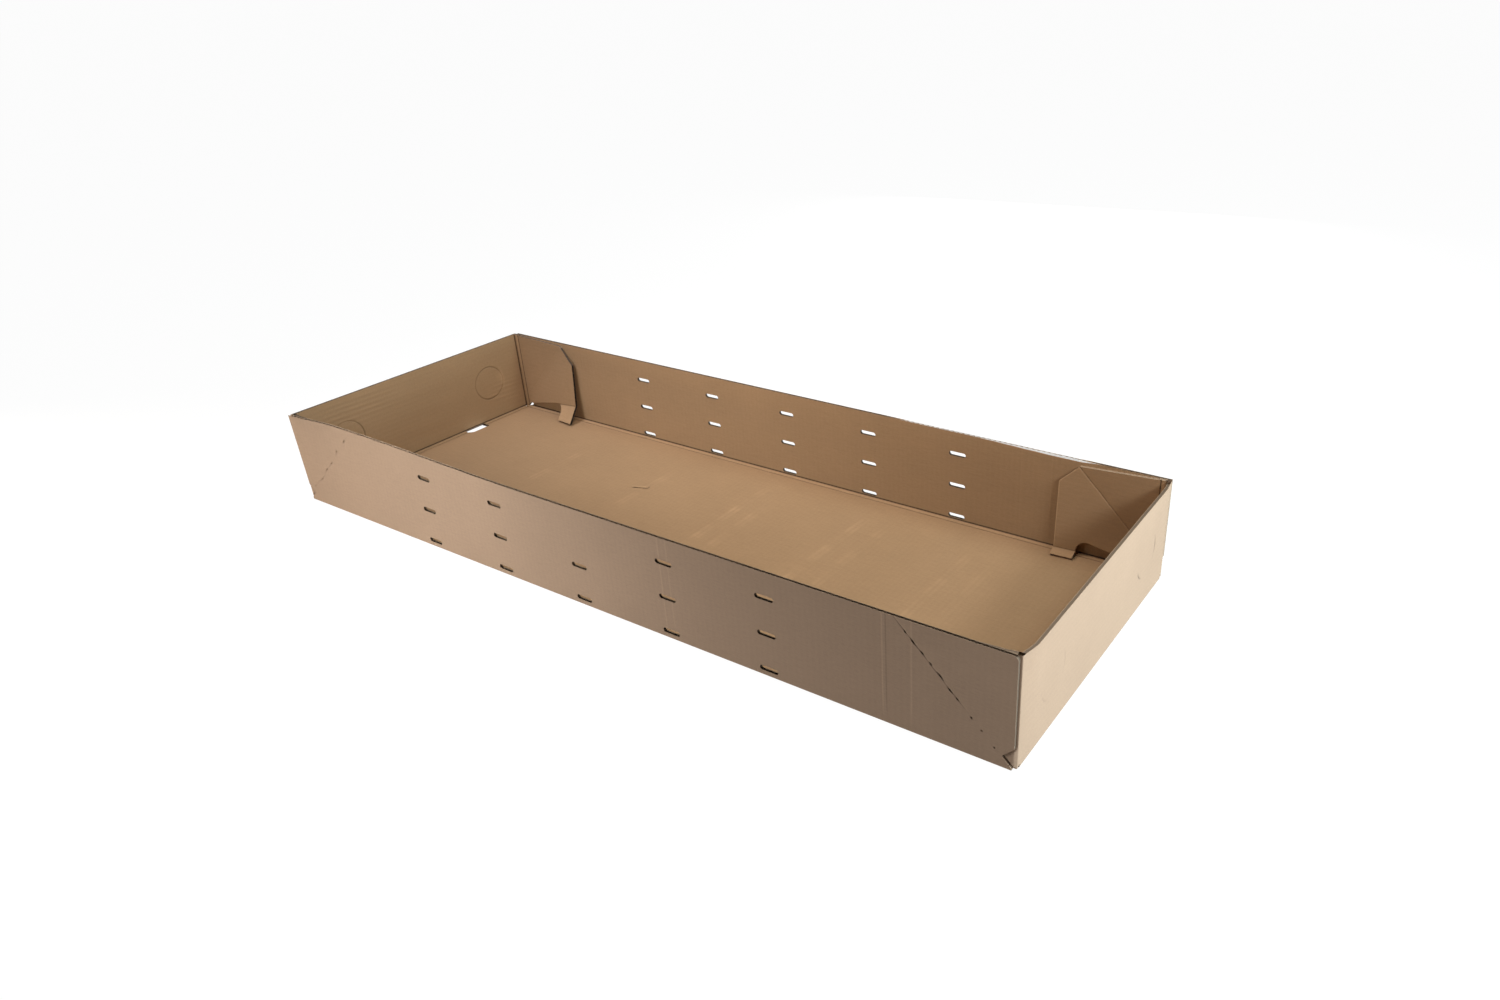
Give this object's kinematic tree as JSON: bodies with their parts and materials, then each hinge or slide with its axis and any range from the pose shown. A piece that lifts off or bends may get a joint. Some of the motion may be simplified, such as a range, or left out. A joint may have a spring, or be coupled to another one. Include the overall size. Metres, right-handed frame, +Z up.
{
  "type": "cardboard tray",
  "caption": "Long shallow open tray of folded corrugated board, with slotted long walls, scored knock-out discs in its ends and glued corner flaps, for carrying long flat goods.",
  "frame": {"origin": "middle of the underside of the floor, on the surface the tray stands on", "axes": "+X along the length to the end nearer the picture's right, +Y across to the far long wall, +Z up"},
  "size_m": [1.1, 0.4, 0.128],
  "materials": {
    "kraft_board": "matte kraft liner"
  },
  "bodies": {
    "root": {"folded_tray": "kraft_board"}
  },
  "joints": []
}
